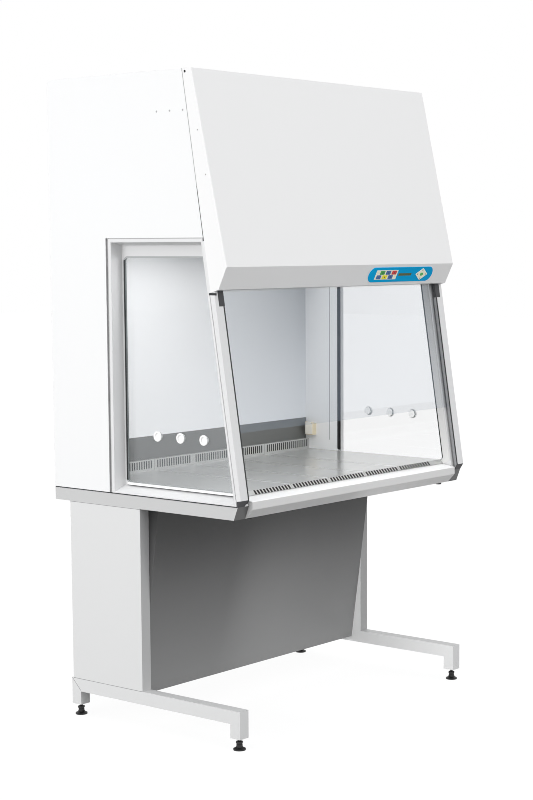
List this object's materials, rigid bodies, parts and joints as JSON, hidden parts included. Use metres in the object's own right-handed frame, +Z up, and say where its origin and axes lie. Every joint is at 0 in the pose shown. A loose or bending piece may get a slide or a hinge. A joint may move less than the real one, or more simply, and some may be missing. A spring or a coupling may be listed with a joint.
{
  "type": "biological safety cabinet",
  "caption": "Bench-high safety cabinet with a sliding sash, side windows, slotted stainless worktop, fan and filters, standing on a steel stand with levelling feet.",
  "frame": {"origin": "floor, at the middle of the footprint", "axes": "+Z up, +X to the user's right, +Y to the back; the user stands on the -Y side"},
  "size_m": [1.28, 0.87, 2.222],
  "materials": {
    "painted_sheet": "semi-gloss powder coat",
    "clear_glass": "clear",
    "seal_rubber": "matte",
    "black_plastic": "matte",
    "white_plastic": "satin",
    "cream_plastic": "satin",
    "stainless": "brushed",
    "bare_aluminium": "satin",
    "plain_steel": "machined",
    "bright_chrome": "polished",
    "panel_blue": "printed film",
    "display_olive": "clear window over a dark display",
    "key_green": "satin",
    "key_blue": "satin",
    "key_red": "satin",
    "key_yellow": "satin"
  },
  "bodies": {
    "cabinet": {"side_panel_right": "painted_sheet", "side_panel_left": "painted_sheet", "window_surround_right": "painted_sheet", "window_surround_left": "painted_sheet", "chamber_side_right": "painted_sheet", "chamber_side_left": "painted_sheet", "back_panel": "painted_sheet", "top_panel": "painted_sheet", "front_hood": "painted_sheet", "base_slab": "painted_sheet", "armrest": "painted_sheet", "chamber_back": "painted_sheet", "plenum_box": "painted_sheet", "diffuser_screen": "painted_sheet", "sash_guide_right": "painted_sheet", "sash_guide_left": "painted_sheet", "foot_beam_right": "painted_sheet", "foot_beam_left": "painted_sheet", "stand_column_right": "painted_sheet", "stand_column_left": "painted_sheet", "knee_panel": "painted_sheet", "side_glass_right": "clear_glass", "side_glass_left": "clear_glass", "glass_gaskets": "seal_rubber", "guide_seals": "seal_rubber", "lift_belts": "seal_rubber", "armrest_latches": "black_plastic", "guide_end_pieces": "black_plastic", "power_inlet": "black_plastic", "port_plugs": "white_plastic", "socket_box": "cream_plastic", "worktop_trays": "stainless", "drip_pan": "stainless", "back_splash": "stainless", "exhaust_grille": "bare_aluminium", "supply_filter": "bare_aluminium", "exhaust_filter": "bare_aluminium", "lift_motor": "plain_steel", "blower_motor": "plain_steel", "lamp_tube": "white_plastic", "control_panel": "panel_blue", "display_window": "display_olive"},
    "sash": {"sash_glass": "clear_glass", "sash_hanger": "bare_aluminium"},
    "driven_shaft": {"lift_shaft": "plain_steel"},
    "idle_shaft": {"idler_shaft": "plain_steel"},
    "fan_wheel": {"blower_impeller": "bare_aluminium"},
    "socket_flap": {"socket_lid": "bright_chrome"},
    "key_fan_body": {"key_fan": "key_green"},
    "key_light_body": {"key_light": "key_blue"},
    "key_alarm_body": {"key_alarm": "key_red"},
    "key_socket_body": {"key_socket": "key_blue"},
    "key_timer_body": {"key_timer": "key_yellow"},
    "key_standby_body": {"key_standby": "key_blue"},
    "select_button_body": {"select_button": "key_green"},
    "foot_front_right": {"levelling_foot_front_right": "black_plastic"},
    "foot_front_left": {"levelling_foot_front_left": "black_plastic"},
    "foot_rear_right": {"levelling_foot_rear_right": "black_plastic"},
    "foot_rear_left": {"levelling_foot_rear_left": "black_plastic"}
  },
  "joints": [
    {"name": "sash_slide", "type": "slide", "parent": "cabinet", "child": "sash", "axis": [0, 0.1564, 0.9877], "range_m": [-0.214, 0.25]},
    {"name": "driven_shaft_spin", "type": "hinge", "parent": "cabinet", "child": "driven_shaft", "pos_m": [0, -0.17958, 2.175], "axis": [1, 0, 0], "range_deg": [-1066, 913]},
    {"name": "idle_shaft_spin", "type": "hinge", "parent": "cabinet", "child": "idle_shaft", "pos_m": [0, -0.26273, 1.65], "axis": [1, 0, 0], "range_deg": [-1066, 913]},
    {"name": "fan_spin", "type": "hinge", "parent": "cabinet", "child": "fan_wheel", "pos_m": [0, 0.23, 1.915], "axis": [0, 1, 0], "continuous": true},
    {"name": "socket_flap_hinge", "type": "hinge", "parent": "cabinet", "child": "socket_flap", "pos_m": [0.5602, 0.251, 0.9545], "axis": [0, 1, 0], "range_deg": [0, 100]},
    {"name": "key_fan_press", "type": "slide", "parent": "cabinet", "child": "key_fan_body", "axis": [0, 0.8969, 0.4423], "range_m": [0, 0.001], "stiffness_N_per_m": 600, "springref_m": -0.0006},
    {"name": "key_light_press", "type": "slide", "parent": "cabinet", "child": "key_light_body", "axis": [0, 0.8969, 0.4423], "range_m": [0, 0.001], "stiffness_N_per_m": 600, "springref_m": -0.0006},
    {"name": "key_alarm_press", "type": "slide", "parent": "cabinet", "child": "key_alarm_body", "axis": [0, 0.8969, 0.4423], "range_m": [0, 0.001], "stiffness_N_per_m": 600, "springref_m": -0.0006},
    {"name": "key_socket_press", "type": "slide", "parent": "cabinet", "child": "key_socket_body", "axis": [0, 0.8969, 0.4423], "range_m": [0, 0.001], "stiffness_N_per_m": 600, "springref_m": -0.0006},
    {"name": "key_timer_press", "type": "slide", "parent": "cabinet", "child": "key_timer_body", "axis": [0, 0.8969, 0.4423], "range_m": [0, 0.001], "stiffness_N_per_m": 600, "springref_m": -0.0006},
    {"name": "key_standby_press", "type": "slide", "parent": "cabinet", "child": "key_standby_body", "axis": [0, 0.8969, 0.4423], "range_m": [0, 0.001], "stiffness_N_per_m": 600, "springref_m": -0.0006},
    {"name": "select_button_press", "type": "slide", "parent": "cabinet", "child": "select_button_body", "axis": [0, 0.8969, 0.4423], "range_m": [0, 0.001], "stiffness_N_per_m": 600, "springref_m": -0.0006},
    {"name": "foot_front_right_turn", "type": "hinge", "parent": "cabinet", "child": "foot_front_right", "pos_m": [0.6185, -0.4015, 0.03], "axis": [0, 0, 1], "range_deg": [-720, 720]},
    {"name": "foot_front_left_turn", "type": "hinge", "parent": "cabinet", "child": "foot_front_left", "pos_m": [-0.6185, -0.4015, 0.03], "axis": [0, 0, 1], "range_deg": [-720, 720]},
    {"name": "foot_rear_right_turn", "type": "hinge", "parent": "cabinet", "child": "foot_rear_right", "pos_m": [0.6185, 0.3455, 0.03], "axis": [0, 0, 1], "range_deg": [-720, 720]},
    {"name": "foot_rear_left_turn", "type": "hinge", "parent": "cabinet", "child": "foot_rear_left", "pos_m": [-0.6185, 0.3455, 0.03], "axis": [0, 0, 1], "range_deg": [-720, 720]}
  ],
  "couplings": [
    {"joint": "driven_shaft_spin", "follows": "sash_slide", "rad_per_m": -74.074},
    {"joint": "idle_shaft_spin", "follows": "sash_slide", "rad_per_m": -74.074}
  ]
}
